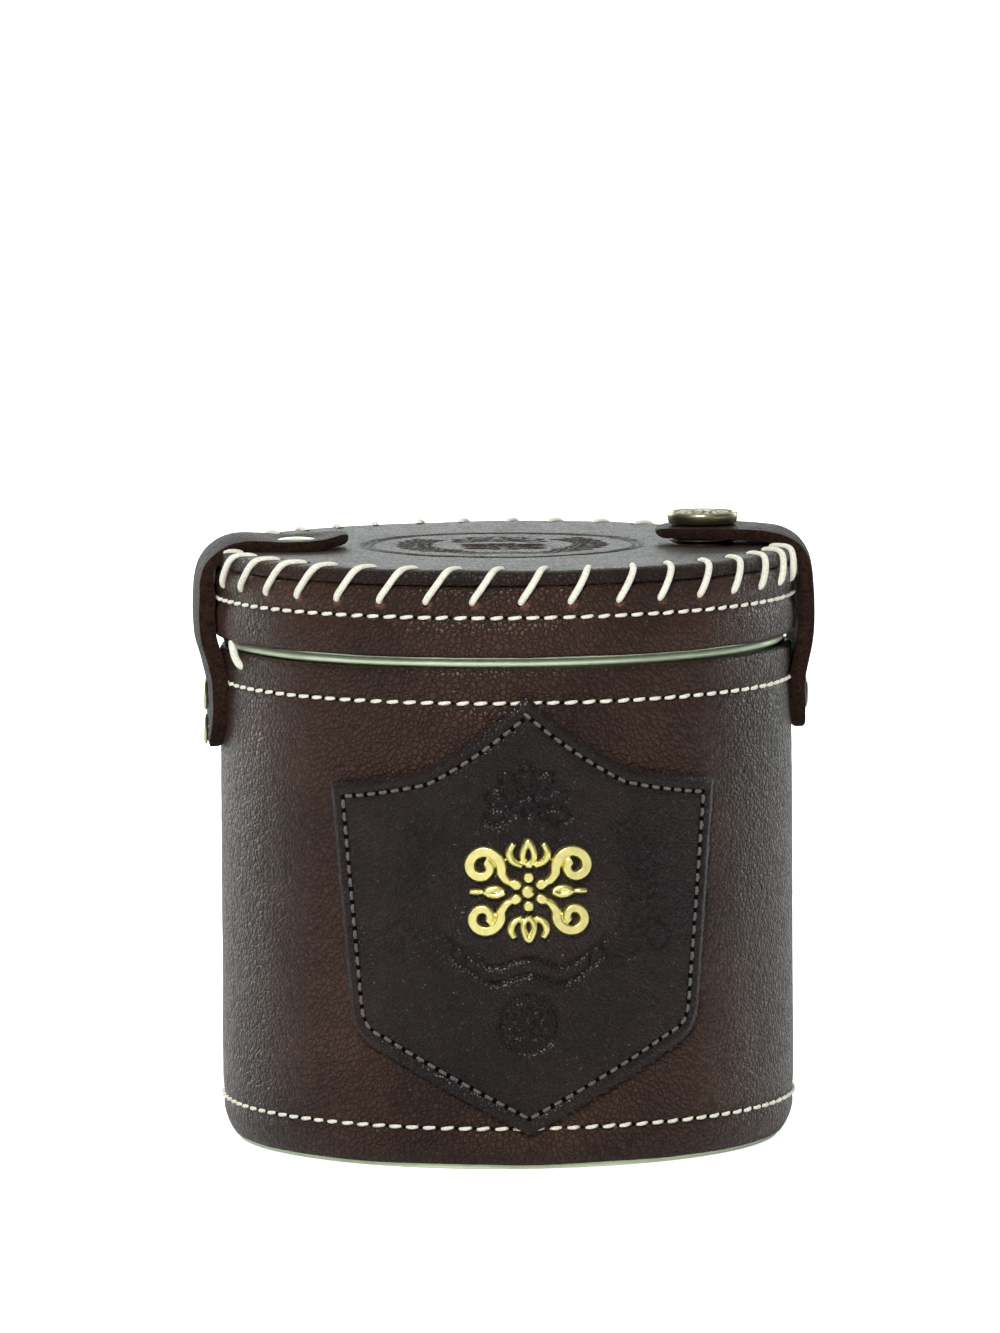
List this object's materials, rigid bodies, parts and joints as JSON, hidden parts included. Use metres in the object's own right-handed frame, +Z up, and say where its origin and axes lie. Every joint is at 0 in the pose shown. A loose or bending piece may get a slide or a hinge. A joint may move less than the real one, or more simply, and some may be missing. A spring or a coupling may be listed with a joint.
{
  "type": "leather dice cup",
  "caption": "Round felt-lined tin cup in a stitched brown leather wrap with a shield patch, a laced lid on a strap hinge and a snap strap that closes it.",
  "frame": {"origin": "centre of the base, on the surface that the cup stands on", "axes": "+Z up along the cup's axis; -Y towards the front with the shield patch; +X towards the closing strap, -X towards the hinge strap"},
  "size_m": [0.1045, 0.1003, 0.1046],
  "materials": {
    "body_leather": "brown grained leather, semi-matt",
    "patch_leather": "dark smooth leather, waxed",
    "strap_leather": "dark brown leather with raw edges",
    "lid_leather": "brown grained leather, semi-matt",
    "thread_cream": "waxed cream thread",
    "thread_grey": "dark grey sewing thread",
    "tinplate": "satin tinplate with a pale green tint",
    "gold_metal": "satin yellow brass",
    "antique_brass": "antique brass, darkened in the hollows",
    "rivet_metal": "pale brass-coloured plate",
    "felt": "dark brown felt",
    "card": "grey-brown stiffening card"
  },
  "bodies": {
    "cup": {"can_base": "tinplate", "can_wall": "tinplate", "base_board": "card", "base_felt": "felt", "cup_lining": "felt", "body_board": "card", "body_wrap": "body_leather", "back_seam_strip": "body_leather", "body_thread_top": "thread_cream", "body_thread_bottom": "thread_cream", "thread_end": "thread_cream", "shield_patch": "patch_leather", "patch_thread": "thread_grey", "emblem": "gold_metal", "emblem_prong_left": "gold_metal", "emblem_prong_right": "gold_metal", "closing_strap": "strap_leather", "closing_strap_rivet": "rivet_metal", "hinge_strap": "strap_leather", "hinge_rivet_lower": "rivet_metal", "hinge_rivet_upper": "rivet_metal"},
    "lid": {"lid_tin": "tinplate", "lid_board": "card", "lid_band": "lid_leather", "lid_top": "lid_leather", "lid_thread": "thread_cream", "lid_lacing": "thread_cream", "lid_lining": "felt", "hinge_tab": "strap_leather", "hinge_lid_rivet": "rivet_metal", "hinge_lid_burr": "rivet_metal", "snap_stud": "antique_brass", "snap_stud_burr": "antique_brass"},
    "tab": {"closing_tab": "strap_leather", "snap_socket": "antique_brass", "snap_cap": "antique_brass"}
  },
  "joints": [
    {"name": "lid_hinge", "type": "hinge", "parent": "cup", "child": "lid", "pos_m": [-0.0523, 0, 0.08405], "axis": [0, -1, 0], "range_deg": [0, 135]},
    {"name": "tab_lift", "type": "hinge", "parent": "cup", "child": "tab", "pos_m": [0.0516, 0, 0.0823], "axis": [0, 1, 0], "range_deg": [0, 105]}
  ]
}
